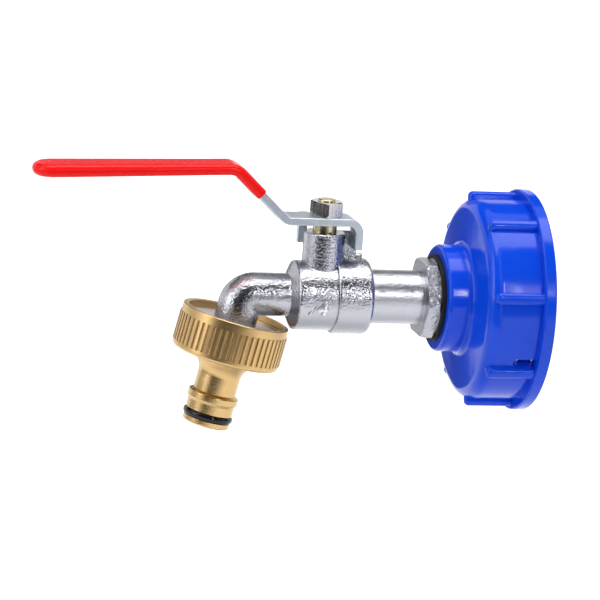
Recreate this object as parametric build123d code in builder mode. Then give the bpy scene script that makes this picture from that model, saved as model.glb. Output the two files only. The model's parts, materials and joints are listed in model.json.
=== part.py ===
from build123d import *
import os
from math import cos, degrees, radians, sin, tan

# A lever ball tap in a ribbed tank adapter, with a click-on hose connector on its outlet.
# Millimetres. The origin is the centre of the adapter's open mouth. +X points out of the mouth
# towards the tank, +Z is up, and the lever lies over the spout, as it does with the tap open.

# Tank adapter, a moulded cap for a 60 mm coarse tank thread
flange_overhang = 3.3
flange_thickness = 3.9
flange_edge_round = 0.6
skirt_radius = 33.7
skirt_wall = 3.4
cap_height = 21.2
floor_thickness = 3.2
shoulder_crown = 1.4
shoulder_round = 4.5
boss_radius = 17.9
boss_length = 9.8
boss_root_round = 2.0
boss_front_round = 1.2

# Ribs of the adapter, and the slot beside one of them
rib_count = 8
rib_turn = 77.5
rib_rise = 2.2
rib_width = 4.0
rib_round = 1.6
rib_nose_inset = 1.0
rib_root_share = 0.7
slot_length = 7.6
slot_width = 3.0
slot_rib_gap = 0.2

# Gasket in the adapter's floor and washer under the tap's hexagon
gasket_thickness = 3.0
gasket_width = 7.0
gasket_play = 0.3
gasket_sink = 0.2
gasket_ledge = 1.2
inlet_washer_thickness = 1.5
inlet_washer_width = 1.3

# Inlet tail, with a G 3/4 thread in the adapter and a finer one in the body
inlet_thread_radius = 13.2
inlet_thread_length = 11.0
thread_gap = 0.1
hex_flats = 24.5
hex_length = 4.2
hex_chamfer = 0.7
hex_chamfer_width = 1.4
hex_edge_round = 0.3
shank_radius = 9.0
shank_length = 18.2
tail_bore_radius = 6.2
socket_radius = 10.4
tail_shoulder_inset = 0.8

# Valve body, a casting of barrel, tower, stop lug and spout
stem_setback = 15.8
band_radius = 12.65
band_length = 12.2
band_rear_round = 1.6
band_front_round = 0.7
barrel_radius = 11.6
barrel_front = 9.3
barrel_front_round = 1.0
cone_length = 2.1
cavity_radius = 9.1
cavity_front = 8.9
tower_radius = 6.85
tower_top = 21.6
tower_edge_round = 0.6

# Spout and outlet stub, with a G 1 thread drawn at its pitch line
spout_radius = 7.17
spout_bore_radius = 5.0
spout_reach = 26.3
elbow_radius = 12.0
elbow_bore_radius = 7.7
outlet_tilt = 12.2
stub_radius = 15.9
stub_top = 10.0
stub_length = 8.0
stub_top_round = 0.8
stub_bore_radius = 12.4
stub_roof = 1.8
stub_flare_length = 3.0

# Ball, seats and stem
ball_radius = 8.5
ball_port_radius = 4.8
ball_slot_floor = 6.2
ball_slot_width = 3.6
seat_gap = 0.05
seat_hole_radius = 5.2
seat_reach = 5.0
blade_play = 0.1
blade_length = 7.6
stem_radius = 4.0
stem_gap = 0.06
stem_flange_radius = 5.0
stem_flange_bottom = 8.9
stem_flange_thickness = 1.1
pocket_play = 0.2
thrust_washer_thickness = 0.9
face_gap = 0.05
o_ring_section = 1.3
o_ring_groove_width = 1.8
o_ring_heights = (13.6, 17.4)
stem_thread_radius = 3.0
stem_flat = 2.2
stem_end_proud = 0.65
stem_end_round = 0.55

# Lever, nut and grip, in a side view with the stem at zero
lever_thickness = 2.6
lever_width = 11.0
lever_edge_round = 0.35
lever_hole_play = 0.1
plate_underside = 24.35
lever_lower_bend = 14.2
lever_upper_bend = 32.0
lever_upper_height = 42.4
lever_lower_bend_radius = 4.0
lever_upper_bend_radius = 6.0
bar_end = 95.0
bar_end_height = 40.2
tab_setback = 10.5
tab_bend_radius = 3.6
tab_bottom = 16.6
tab_far_side = 2.2
tab_notch_height = 22.8
ear_length = 2.8
ear_width = 2.3
ear_bottom = 16.6
ear_round = 1.6
nut_flats = 10.0
nut_height = 5.0
nut_chamfer = 0.5
nut_chamfer_width = 1.0
nut_turn = 24.4
nut_thread_gap = 0.05
grip_start = 23.3
grip_width = 12.5
grip_thickness = 3.75
grip_straight_start = 42.0
grip_tip_width = 13.5
grip_tip_thickness = 4.4
grip_tip_centre = 92.4
grip_gap = 0.05
grip_edge_share = 0.48

# Stop lug beside the tower, between the lever's tab and its ear
stop_clearance = 0.3
lug_thickness = 1.9
lug_top = 21.4
lug_reach = 12.0
lug_foot_reach = 14.2
lug_foot_height = 13.8
lug_slope = 1.6
lug_round = 0.5

# Hose connector, measured along the outlet's axis from the spout's axis
connector_rim = 7.4
connector_lip = 3.0
knurl_length = 9.6
connector_band = 2.0
lip_radius = 17.9
knurl_radius = 18.3
flute_count = 54
flute_radius = 0.6
band_round = 1.1
rim_round = 0.4
mouth_gap = 0.3
washer_thickness = 2.0
washer_hole_radius = 7.0
washer_play = 0.2
spigot_bore_radius = 4.4
flare_radius = 10.4
flare_length = 4.6
flare_round = 5.0
neck_radius = 7.1
neck_length = 7.4
ridge_radius = 8.4
ridge_rise = 0.8
ridge_length = 2.0
ridge_fall = 1.0
ridge_round = 0.4
spigot_radius = 7.8
spigot_length = 3.0
spigot_o_ring_section = 2.5
spigot_groove_play = 0.05
spigot_lip = 1.9
spigot_tip_round = 0.6

# Places along the tap's axis
thread_radius = skirt_radius - skirt_wall
flange_radius = skirt_radius + flange_overhang
rib_radius = skirt_radius + rib_rise
recess_radius = thread_radius - gasket_ledge
x_shoulder = -cap_height
x_floor = x_shoulder + floor_thickness
x_recess = x_floor + gasket_thickness + gasket_sink
x_boss = x_shoulder - boss_length
x_hex_face = x_boss - inlet_washer_thickness
x_hex_front = x_hex_face - hex_length
x_body_rear = x_hex_front - shank_length
x_stem = x_body_rear - stem_setback
x_band = x_body_rear - band_length
x_barrel_front = x_stem - barrel_front
x_cone_front = x_barrel_front - cone_length
x_cavity_front = x_stem - cavity_front
x_tail_front = x_stem + cavity_front
x_tail_end = x_hex_face + inlet_thread_length
x_elbow = x_stem - spout_reach

# Heights at the stem
stem_flange_top = stem_flange_bottom + stem_flange_thickness
pocket_top = stem_flange_top + thrust_washer_thickness + 2 * face_gap
pocket_radius = stem_flange_radius + pocket_play
plate_top = plate_underside + lever_thickness
plate_middle = plate_underside + lever_thickness / 2
nut_top = plate_top + nut_height
stem_bore_radius = stem_radius + stem_gap
stem_groove_radius = stem_bore_radius - o_ring_section - 2 * face_gap

# Places along the outlet's axis
stub_end = stub_top + stub_length
connector_knurl = connector_rim + connector_lip
connector_knurl_end = connector_knurl + knurl_length
connector_base = connector_knurl_end + connector_band
washer_top = stub_end + face_gap
connector_floor = washer_top + washer_thickness
mouth_radius = stub_radius + mouth_gap
neck_start = connector_base + flare_length
ridge_start = neck_start + neck_length
ridge_top = ridge_start + ridge_rise
ridge_end = ridge_top + ridge_length
spigot_start = ridge_end + ridge_fall
groove_start = spigot_start + spigot_length
groove_end = groove_start + spigot_o_ring_section + 2 * spigot_groove_play
spigot_tip = groove_end + spigot_lip
spigot_o_ring_radius = ridge_radius - spigot_o_ring_section / 2
groove_radius = ridge_radius - spigot_o_ring_section - spigot_groove_play

# The elbow turns about an axis near its inner side, from a place on the spout's axis
elbow_turn = 90 - outlet_tilt
elbow_middle_radius = elbow_radius - spout_radius
x_elbow_start = x_elbow + elbow_middle_radius * tan(radians(elbow_turn / 2))

# The stem's axis, the outlet's axis and the plane of the outlet's half section
stem_axis = Axis((x_stem, 0, 0), (0, 0, 1))
outlet_down = Vector(-sin(radians(outlet_tilt)), 0, -cos(radians(outlet_tilt)))
outlet_axis = Axis((x_elbow, 0, 0), outlet_down)
outlet_section = Plane((x_elbow, 0, 0), x_dir=outlet_down, z_dir=(0, 1, 0))

os.makedirs("parts", exist_ok=True)


def nearest(vertices, *points):
    """The corners of a profile that lie nearest to the given points."""
    return [vertices.sort_by_distance(point)[0] for point in points]


def across_outlet(distance):
    """The plane across the outlet's axis at a distance below the spout's axis."""
    return Plane(Vector(x_elbow, 0, 0) + outlet_down * distance, x_dir=(0, 1, 0), z_dir=outlet_down)


def spout_points(start, distance):
    """The spout's middle line in the tap's side view, from a place on its axis to one on the outlet's."""
    end = Vector(x_elbow, 0, 0) + outlet_down * distance
    return (start, 0), (x_elbow, 0), (end.X, end.Z)


# One rib, at the top of the skirt, with a round nose and rounded edges
rib_root = skirt_radius - skirt_wall * rib_root_share
rib_nose = x_shoulder + rib_nose_inset + rib_width / 2
with BuildPart() as rib:
    with BuildSketch(Plane.XY.offset(rib_root)):
        with Locations((rib_nose, 0)):
            Circle(rib_width / 2)
            Rectangle(-flange_thickness / 2 - rib_nose, rib_width, align=(Align.MIN, Align.CENTER))
    extrude(amount=rib_radius - rib_root)
    fillet(rib.faces().sort_by(Axis.Z)[-1].edges(), rib_round)

# Tank adapter
slot_from_rib = rib_width / 2 + slot_rib_gap + slot_width / 2
slot_turn = rib_turn + 360 / rib_count - degrees(slot_from_rib / skirt_radius)
with BuildPart() as tank_adapter:
    with BuildSketch(Plane.XZ) as cap_section:
        with BuildLine():
            Polyline(
                (0, thread_radius),
                (0, flange_radius),
                (-flange_thickness, flange_radius),
                (-flange_thickness, skirt_radius),
                (x_shoulder, skirt_radius),
                (x_shoulder - shoulder_crown, boss_radius),
                (x_boss, boss_radius),
                (x_boss, inlet_thread_radius),
                (x_floor, inlet_thread_radius),
                (x_floor, recess_radius),
                (x_recess, recess_radius),
                (x_recess, thread_radius),
                close=True,
            )
        make_face()
        corners = cap_section.vertices()
        fillet(nearest(corners, (0, flange_radius), (-flange_thickness, flange_radius)), flange_edge_round)
        fillet(nearest(cap_section.vertices(), (x_shoulder, skirt_radius)), shoulder_round)
        fillet(nearest(cap_section.vertices(), (x_shoulder - shoulder_crown, boss_radius)), boss_root_round)
        fillet(nearest(cap_section.vertices(), (x_boss, boss_radius)), boss_front_round)
    revolve(axis=Axis.X)
    for index in range(rib_count):
        add(rib.part, rotation=(rib_turn + index * 360 / rib_count, 0, 0))
    with BuildSketch(Plane.XY.rotated((slot_turn, 0, 0)).offset(rib_root)):
        with Locations((-flange_thickness - slot_length + slot_width / 2, 0)):
            Circle(slot_width / 2)
            Rectangle(slot_length - slot_width / 2, slot_width, align=(Align.MIN, Align.CENTER))
    extrude(amount=skirt_wall, both=True, mode=Mode.SUBTRACT)
tank_adapter.part.label = "tank_adapter"
export_step(tank_adapter.part, "parts/tank_adapter.step")

# Flat gasket in the recess of the adapter's floor
gasket_radius = recess_radius - gasket_play
with BuildPart() as adapter_gasket:
    with BuildSketch(Plane.YZ.offset(x_floor)):
        Circle(gasket_radius)
        Circle(gasket_radius - gasket_width, mode=Mode.SUBTRACT)
    extrude(amount=gasket_thickness)
adapter_gasket.part.label = "adapter_gasket"
export_step(adapter_gasket.part, "parts/adapter_gasket.step")

# Rubber ring between the hexagon and the boss
with BuildPart() as inlet_washer:
    with BuildSketch(Plane.YZ.offset(x_hex_face)):
        Circle(inlet_thread_radius + inlet_washer_width)
        Circle(inlet_thread_radius, mode=Mode.SUBTRACT)
    extrude(amount=inlet_washer_thickness)
inlet_washer.part.label = "inlet_washer"
export_step(inlet_washer.part, "parts/inlet_washer.step")

# Inlet tail: hexagon with turned corners, shank, and a thread at each end
hex_corner_radius = hex_flats / 2 / cos(radians(30))
with BuildPart() as inlet_tail:
    with BuildSketch(Plane.YZ.offset(x_hex_front)):
        RegularPolygon(hex_flats / 2, 6, major_radius=False)
    extrude(amount=hex_length)
    fillet(inlet_tail.edges().filter_by(Axis.X), hex_edge_round)
    with BuildSketch(Plane.XZ) as hex_turning:
        with BuildLine():
            Polyline(
                (x_hex_front, 0),
                (x_hex_front, hex_corner_radius),
                (x_hex_face, hex_corner_radius),
                (x_hex_face, 0),
                close=True,
            )
        make_face()
        outer_corners = [(x_hex_front, hex_corner_radius), (x_hex_face, hex_corner_radius)]
        chamfer(nearest(hex_turning.vertices(), *outer_corners), hex_chamfer, hex_chamfer_width)
    revolve(axis=Axis.X, mode=Mode.INTERSECT)
    with BuildSketch(Plane.XZ):
        with BuildLine():
            Polyline(
                (x_tail_front, tail_bore_radius),
                (x_tail_front, socket_radius - thread_gap),
                (x_body_rear - tail_shoulder_inset, socket_radius - thread_gap),
                (x_body_rear - tail_shoulder_inset, shank_radius),
                (x_hex_face, shank_radius),
                (x_hex_face, inlet_thread_radius - thread_gap),
                (x_tail_end, inlet_thread_radius - thread_gap),
                (x_tail_end, tail_bore_radius),
                close=True,
            )
        make_face()
    revolve(axis=Axis.X)
    with BuildSketch(Plane.YZ.offset(x_tail_front)):
        Circle(tail_bore_radius)
    extrude(amount=x_tail_end - x_tail_front, mode=Mode.SUBTRACT)
inlet_tail.part.label = "inlet_tail"
export_step(inlet_tail.part, "parts/inlet_tail.step")

# Stop lug, its outer edges rounded as cast
lug_front = tab_far_side + stop_clearance
lug_back = lug_front + lug_thickness
with BuildPart() as lug:
    with BuildSketch(Plane.XZ.offset(-lug_back)):
        with BuildLine():
            Polyline(
                (x_stem, ball_radius),
                (x_stem + lug_foot_reach, ball_radius),
                (x_stem + lug_foot_reach, lug_foot_height),
                (x_stem + lug_reach, lug_foot_height),
                (x_stem + lug_reach, lug_top - lug_slope),
                (x_stem + lug_reach - lug_slope, lug_top),
                (x_stem, lug_top),
                close=True,
            )
        make_face()
    extrude(amount=lug_thickness)
    outline = lug.edges().filter_by(Axis.Y, reverse=True)
    showing = outline.filter_by(lambda edge: edge.center().X > x_stem and edge.center().Z > ball_radius)
    fillet(showing, lug_round)

# Valve body: barrel, tower and lug, spout and outlet stub, then the bores that run through them
with BuildPart() as valve_body:
    with BuildSketch(Plane.XZ) as barrel_section:
        with BuildLine():
            Polyline(
                (x_cone_front, 0),
                (x_cone_front, spout_radius),
                (x_barrel_front, barrel_radius),
                (x_band, barrel_radius),
                (x_band, band_radius),
                (x_body_rear, band_radius),
                (x_body_rear, 0),
                close=True,
            )
        make_face()
        fillet(nearest(barrel_section.vertices(), (x_barrel_front, barrel_radius)), barrel_front_round)
        fillet(nearest(barrel_section.vertices(), (x_band, band_radius)), band_front_round)
        fillet(nearest(barrel_section.vertices(), (x_body_rear, band_radius)), band_rear_round)
    revolve(axis=Axis.X)
    elbow_face = Plane((x_elbow_start, 0, 0), x_dir=(0, 1, 0), z_dir=(1, 0, 0))
    with BuildSketch(elbow_face):
        Circle(spout_radius)
    extrude(amount=x_barrel_front - x_elbow_start)
    with BuildSketch(elbow_face):
        Circle(spout_radius)
        with Locations((0, -elbow_middle_radius)):
            Rectangle(2 * spout_radius, spout_radius, align=(Align.CENTER, Align.MAX), mode=Mode.SUBTRACT)
    revolve(axis=Axis((x_elbow_start, 0, -elbow_middle_radius), (0, -1, 0)), revolution_arc=elbow_turn)
    with BuildSketch(across_outlet(x_elbow_start - x_elbow)):
        Circle(spout_radius)
    extrude(amount=stub_top + stub_roof - (x_elbow_start - x_elbow))
    with BuildSketch(outlet_section) as stub_section:
        with BuildLine():
            Polyline(
                (stub_top, 0), (stub_top, stub_radius), (stub_end, stub_radius), (stub_end, 0), close=True
            )
        make_face()
        fillet(nearest(stub_section.vertices(), (stub_top, stub_radius)), stub_top_round)
    revolve(axis=outlet_axis)
    with BuildSketch(Plane.XZ) as tower_section:
        with BuildLine():
            Polyline(
                (x_stem, 0),
                (x_stem + tower_radius, 0),
                (x_stem + tower_radius, tower_top),
                (x_stem, tower_top),
                close=True,
            )
        make_face()
        fillet(nearest(tower_section.vertices(), (x_stem + tower_radius, tower_top)), tower_edge_round)
    revolve(axis=stem_axis)
    add(lug.part)
    with BuildSketch(Plane.XZ):
        with BuildLine():
            Polyline(
                (x_cavity_front, 0),
                (x_cavity_front, cavity_radius),
                (x_tail_front, cavity_radius),
                (x_tail_front, socket_radius),
                (x_body_rear, socket_radius),
                (x_body_rear, 0),
                close=True,
            )
        make_face()
    revolve(axis=Axis.X, mode=Mode.SUBTRACT)
    with BuildSketch(Plane.XY):
        with Locations((x_stem, 0)):
            Circle(pocket_radius)
    extrude(amount=pocket_top, mode=Mode.SUBTRACT)
    with BuildSketch(Plane.XY):
        with Locations((x_stem, 0)):
            Circle(stem_bore_radius)
    extrude(amount=tower_top, mode=Mode.SUBTRACT)
    with BuildLine(Plane.XZ):
        FilletPolyline(*spout_points(x_cavity_front, stub_end), radius=elbow_bore_radius)
    with BuildSketch(Plane((x_cavity_front, 0, 0), x_dir=(0, 1, 0), z_dir=(-1, 0, 0))):
        Circle(spout_bore_radius)
    sweep(mode=Mode.SUBTRACT)
    with BuildSketch(outlet_section):
        with BuildLine():
            Polyline(
                (stub_top + stub_roof, 0),
                (stub_top + stub_roof, spout_bore_radius),
                (stub_top + stub_roof + stub_flare_length, stub_bore_radius),
                (stub_end, stub_bore_radius),
                (stub_end, 0),
                close=True,
            )
        make_face()
    revolve(axis=outlet_axis, mode=Mode.SUBTRACT)
valve_body.part.label = "valve_body"
export_step(valve_body.part, "parts/valve_body.step")


def seat_ring(back_face, inward):
    """A ball seat: a ring from its flat back towards the ball, hollowed to the ball's curve."""
    with BuildPart() as seat:
        with BuildSketch(Plane((back_face, 0, 0), x_dir=(0, 1, 0), z_dir=(inward, 0, 0))):
            Circle(cavity_radius - seat_gap)
            Circle(seat_hole_radius, mode=Mode.SUBTRACT)
        extrude(amount=cavity_front - seat_reach)
        with Locations((x_stem, 0, 0)):
            Sphere(ball_radius + seat_gap, rotation=(0, 0, 90), mode=Mode.SUBTRACT)
    return seat


# Ball seats, one on each side
seat_inlet = seat_ring(x_tail_front, -1)
seat_inlet.part.label = "seat_inlet"
export_step(seat_inlet.part, "parts/seat_inlet.step")
seat_outlet = seat_ring(x_cavity_front, 1)
seat_outlet.part.label = "seat_outlet"
export_step(seat_outlet.part, "parts/seat_outlet.step")

# Ball, with its port along the tap and a slot across its top
with BuildPart() as ball:
    with Locations((x_stem, 0, 0)):
        Sphere(ball_radius)
        Cylinder(ball_port_radius, 2 * ball_radius, rotation=(0, 90, 0), mode=Mode.SUBTRACT)
    with Locations((x_stem, 0, ball_slot_floor)):
        slot_align = (Align.CENTER, Align.CENTER, Align.MIN)
        Box(ball_slot_width, 2 * ball_radius, ball_radius, align=slot_align, mode=Mode.SUBTRACT)
ball.part.label = "ball"
export_step(ball.part, "parts/ball.step")

# Stem: blade, flange, grooved shank, flats for the lever and thread for the nut
with BuildPart() as stem:
    with BuildSketch(Plane.XZ):
        with BuildLine():
            Polyline(
                (x_stem, stem_flange_bottom),
                (x_stem + stem_flange_radius, stem_flange_bottom),
                (x_stem + stem_flange_radius, stem_flange_top),
                (x_stem + stem_radius, stem_flange_top),
                (x_stem + stem_radius, plate_underside),
                (x_stem + stem_thread_radius, plate_underside),
                (x_stem + stem_thread_radius, nut_top + stem_end_proud),
                (x_stem, nut_top + stem_end_proud),
                close=True,
            )
        make_face()
    revolve(axis=stem_axis)
    fillet(stem.faces().sort_by(Axis.Z)[-1].edges(), stem_end_round)
    for height in o_ring_heights:
        with BuildSketch(Plane.XY.offset(height - o_ring_groove_width / 2)):
            with Locations((x_stem, 0)):
                Circle(stem_radius)
                Circle(stem_groove_radius, mode=Mode.SUBTRACT)
        extrude(amount=o_ring_groove_width, mode=Mode.SUBTRACT)
    with BuildSketch(Plane.XY.offset(plate_underside)):
        with Locations((x_stem, 0)):
            Circle(stem_radius)
            Rectangle(2 * stem_radius, 2 * stem_flat, mode=Mode.SUBTRACT)
    extrude(amount=lever_thickness, mode=Mode.SUBTRACT)
    with BuildSketch(Plane.XY.offset(ball_slot_floor + blade_play)):
        with Locations((x_stem, 0)):
            Rectangle(ball_slot_width - 2 * blade_play, blade_length)
    extrude(amount=stem_flange_bottom - ball_slot_floor - blade_play)
stem.part.label = "stem"
export_step(stem.part, "parts/stem.step")

# Thrust washer between the stem's flange and the tower
with BuildPart() as stem_thrust_washer:
    with BuildSketch(Plane.XY.offset(stem_flange_top + face_gap)):
        with Locations((x_stem, 0)):
            Circle(pocket_radius - face_gap)
            Circle(stem_bore_radius, mode=Mode.SUBTRACT)
    extrude(amount=thrust_washer_thickness)
stem_thrust_washer.part.label = "stem_thrust_washer"
export_step(stem_thrust_washer.part, "parts/stem_thrust_washer.step")


def stem_o_ring(height):
    """An O-ring in the stem's groove at a height."""
    with BuildPart(Plane((x_stem, 0, height))) as ring:
        Torus(stem_groove_radius + face_gap + o_ring_section / 2, o_ring_section / 2)
    return ring


# Stem O-rings
stem_o_ring_lower = stem_o_ring(min(o_ring_heights))
stem_o_ring_lower.part.label = "stem_o_ring_lower"
export_step(stem_o_ring_lower.part, "parts/stem_o_ring_lower.step")
stem_o_ring_upper = stem_o_ring(max(o_ring_heights))
stem_o_ring_upper.part.label = "stem_o_ring_upper"
export_step(stem_o_ring_upper.part, "parts/stem_o_ring_upper.step")

# Lever: a strip along one bent line, from the tab behind the stem to the bar's end in the grip
tab_foot = (x_stem + tab_setback, tab_bottom)
tab_corner = (x_stem + tab_setback, plate_middle)
lower_corner = (x_stem - lever_lower_bend, plate_middle)
upper_corner = (x_stem - lever_upper_bend, lever_upper_height)
bar_tip = (x_stem - bar_end, bar_end_height)
ear_near = -lug_back - stop_clearance
bend_radii = [tab_bend_radius, lever_lower_bend_radius, lever_upper_bend_radius]
with BuildPart() as lever:
    with BuildLine(Plane.XZ):
        FilletPolyline(tab_foot, tab_corner, lower_corner, upper_corner, bar_tip, radius=bend_radii)
    with BuildSketch(Plane.XY.offset(tab_bottom)):
        with Locations((x_stem + tab_setback, 0)):
            RectangleRounded(lever_thickness, lever_width, lever_edge_round)
    sweep()
    with BuildSketch(Plane.XY.offset(tab_bottom)):
        with Locations((x_stem + tab_setback, tab_far_side)):
            Rectangle(2 * lever_thickness, lever_width, align=(Align.CENTER, Align.MIN))
    extrude(amount=tab_notch_height - tab_bottom, mode=Mode.SUBTRACT)
    for bottom, overlap in [(ear_bottom, 0), (plate_underside, lever_edge_round)]:
        with BuildSketch(Plane.XY.offset(bottom)):
            with Locations((x_stem + ear_near, lever_width / 2 + ear_width)):
                Rectangle(ear_length, ear_width + overlap, align=(Align.MAX, Align.MAX))
        extrude(amount=plate_top - bottom)
    ear_edges = lever.edges().filter_by(Axis.X).group_by(Axis.Y)[-1]
    fillet(ear_edges.sort_by(Axis.Z)[-1], ear_round)
    with BuildSketch(Plane.XY.offset(plate_underside)):
        with Locations((x_stem, 0)):
            Circle(stem_thread_radius + lever_hole_play)
            flat_gap = 2 * (stem_flat + lever_hole_play)
            Rectangle(2 * stem_radius, flat_gap, mode=Mode.INTERSECT)
    extrude(amount=lever_thickness, mode=Mode.SUBTRACT)
lever.part.label = "lever"
export_step(lever.part, "parts/lever.step")

# Nut, with both faces turned to a chamfer
nut_corner_radius = nut_flats / 2 / cos(radians(30))
with BuildPart() as lever_nut:
    with BuildSketch(Plane.XY.offset(plate_top)):
        with Locations((x_stem, 0)):
            RegularPolygon(nut_flats / 2, 6, major_radius=False, rotation=nut_turn)
    extrude(amount=nut_height)
    with BuildSketch(Plane.XZ) as nut_turning:
        with BuildLine():
            Polyline(
                (x_stem + stem_thread_radius + nut_thread_gap, plate_top),
                (x_stem + nut_corner_radius, plate_top),
                (x_stem + nut_corner_radius, nut_top),
                (x_stem + stem_thread_radius + nut_thread_gap, nut_top),
                close=True,
            )
        make_face()
        rims = [(x_stem + nut_corner_radius, plate_top), (x_stem + nut_corner_radius, nut_top)]
        chamfer(nearest(nut_turning.vertices(), *rims), nut_chamfer, nut_chamfer_width)
    revolve(axis=stem_axis, mode=Mode.INTERSECT)
lever_nut.part.label = "lever_nut"
export_step(lever_nut.part, "parts/lever_nut.step")

# Grip: a dipped sleeve that follows the bar, swells along its straight run and ends in a round tip
crank = (Vector(*upper_corner) - Vector(*lower_corner)).normalized()
crank_slope = crank.Y / -crank.X
grip_mouth = (x_stem - grip_start, plate_middle + (grip_start - lever_lower_bend) * crank_slope)
run = (Vector(*bar_tip) - Vector(*upper_corner)).normalized()
run_direction = Vector(run.X, 0, run.Y)


def on_run(distance):
    """The plane across the bar's straight run at a distance in front of the stem, width along X."""
    height = lever_upper_height + (distance - lever_upper_bend) * run.Y / -run.X
    return Plane((x_stem - distance, 0, height), x_dir=(0, 1, 0), z_dir=run_direction)


swell_plane = on_run(grip_straight_start)
tip_plane = on_run(grip_tip_centre)
mouth_plane = Plane((grip_mouth[0], 0, grip_mouth[1]), x_dir=(0, 1, 0), z_dir=(crank.X, 0, crank.Y))
swell_point = (swell_plane.origin.X, swell_plane.origin.Z)
with BuildPart() as lever_grip:
    with BuildLine(Plane.XZ):
        FilletPolyline(grip_mouth, upper_corner, swell_point, radius=lever_upper_bend_radius)
    with BuildSketch(mouth_plane):
        RectangleRounded(grip_width, grip_thickness, grip_thickness * grip_edge_share)
    sweep()
    with BuildSketch(swell_plane):
        RectangleRounded(grip_width, grip_thickness, grip_thickness * grip_edge_share)
    with BuildSketch(tip_plane):
        RectangleRounded(grip_tip_width, grip_tip_thickness, grip_tip_thickness * grip_edge_share)
    loft()
    with BuildSketch(tip_plane):
        RectangleRounded(grip_tip_width, grip_tip_thickness, grip_tip_thickness * grip_edge_share)
        Rectangle(grip_tip_width, grip_tip_thickness, align=(Align.MAX, Align.CENTER), mode=Mode.SUBTRACT)
    revolve(axis=Axis(tip_plane.origin, tip_plane.y_dir), revolution_arc=-180)
    with BuildLine(Plane.XZ):
        FilletPolyline(grip_mouth, upper_corner, bar_tip, radius=lever_upper_bend_radius)
    with BuildSketch(mouth_plane):
        Rectangle(lever_width + 2 * grip_gap, lever_thickness + 2 * grip_gap)
    sweep(mode=Mode.SUBTRACT)
lever_grip.part.label = "lever_grip"
export_step(lever_grip.part, "parts/lever_grip.step")

# Hose connector: threaded mouth, knurled band, flare and click-on spigot
with BuildPart() as hose_connector:
    with BuildSketch(outlet_section) as connector_section:
        with BuildLine():
            Polyline(
                (connector_rim, mouth_radius),
                (connector_rim, lip_radius),
                (connector_knurl, lip_radius),
                (connector_knurl, knurl_radius),
                (connector_knurl_end, knurl_radius),
                (connector_knurl_end, lip_radius),
                (connector_base, lip_radius),
                (connector_base, flare_radius),
                (neck_start, neck_radius),
                (ridge_start, neck_radius),
                (ridge_top, ridge_radius),
                (ridge_end, ridge_radius),
                (spigot_start, spigot_radius),
                (groove_start, spigot_radius),
                (groove_start, groove_radius),
                (groove_end, groove_radius),
                (groove_end, spigot_radius),
                (spigot_tip, spigot_radius),
                (spigot_tip, spigot_bore_radius),
                (connector_floor, spigot_bore_radius),
                (connector_floor, mouth_radius),
                close=True,
            )
        make_face()
        rim_corners = [(connector_rim, mouth_radius), (connector_rim, lip_radius)]
        fillet(nearest(connector_section.vertices(), *rim_corners), rim_round)
        ridge_corners = [(ridge_top, ridge_radius), (ridge_end, ridge_radius)]
        fillet(nearest(connector_section.vertices(), *ridge_corners), ridge_round)
        fillet(nearest(connector_section.vertices(), (connector_base, lip_radius)), band_round)
        fillet(nearest(connector_section.vertices(), (neck_start, neck_radius)), flare_round)
        fillet(nearest(connector_section.vertices(), (spigot_tip, spigot_radius)), spigot_tip_round)
    revolve(axis=outlet_axis)
    with BuildSketch(across_outlet(connector_knurl)):
        with PolarLocations(knurl_radius, flute_count):
            Circle(flute_radius)
    extrude(amount=knurl_length, mode=Mode.SUBTRACT)
hose_connector.part.label = "hose_connector"
export_step(hose_connector.part, "parts/hose_connector.step")

# Flat washer on the connector's floor
with BuildPart() as connector_washer:
    with BuildSketch(across_outlet(washer_top)):
        Circle(mouth_radius - washer_play)
        Circle(washer_hole_radius, mode=Mode.SUBTRACT)
    extrude(amount=washer_thickness)
connector_washer.part.label = "connector_washer"
export_step(connector_washer.part, "parts/connector_washer.step")

# O-ring of the spigot
with BuildPart(across_outlet((groove_start + groove_end) / 2)) as spigot_o_ring:
    Torus(spigot_o_ring_radius, spigot_o_ring_section / 2)
spigot_o_ring.part.label = "spigot_o_ring"
export_step(spigot_o_ring.part, "parts/spigot_o_ring.step")
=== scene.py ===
"""Finishes of a lever ball tap in its tank adapter, with a click-on hose connector."""

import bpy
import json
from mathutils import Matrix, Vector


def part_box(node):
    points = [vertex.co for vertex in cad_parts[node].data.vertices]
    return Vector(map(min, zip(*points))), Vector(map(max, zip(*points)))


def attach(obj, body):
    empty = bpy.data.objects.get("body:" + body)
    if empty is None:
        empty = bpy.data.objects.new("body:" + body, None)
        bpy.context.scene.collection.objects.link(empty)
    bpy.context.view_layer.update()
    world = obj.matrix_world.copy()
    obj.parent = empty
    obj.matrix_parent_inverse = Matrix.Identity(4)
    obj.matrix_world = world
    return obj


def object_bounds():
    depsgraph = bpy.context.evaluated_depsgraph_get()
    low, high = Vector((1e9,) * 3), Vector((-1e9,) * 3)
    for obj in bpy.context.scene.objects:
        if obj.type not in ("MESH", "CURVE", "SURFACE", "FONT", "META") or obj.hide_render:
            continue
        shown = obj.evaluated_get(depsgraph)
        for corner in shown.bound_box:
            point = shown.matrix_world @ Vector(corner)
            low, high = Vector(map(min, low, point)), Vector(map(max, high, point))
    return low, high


bl_info = {
    "name": "Tank tap finishes",
    "version": (1, 0, 0),
    "blender": (4, 5, 0),
    "location": "View3D > Sidebar > Tank tap",
    "description": "Dresses a lever ball tap, its tank adapter and its hose connector",
    "category": "Object",
}

import json
import math

import bmesh
import bpy
from bpy.props import FloatProperty, FloatVectorProperty, IntProperty, PointerProperty
from mathutils import Matrix, Vector

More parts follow.
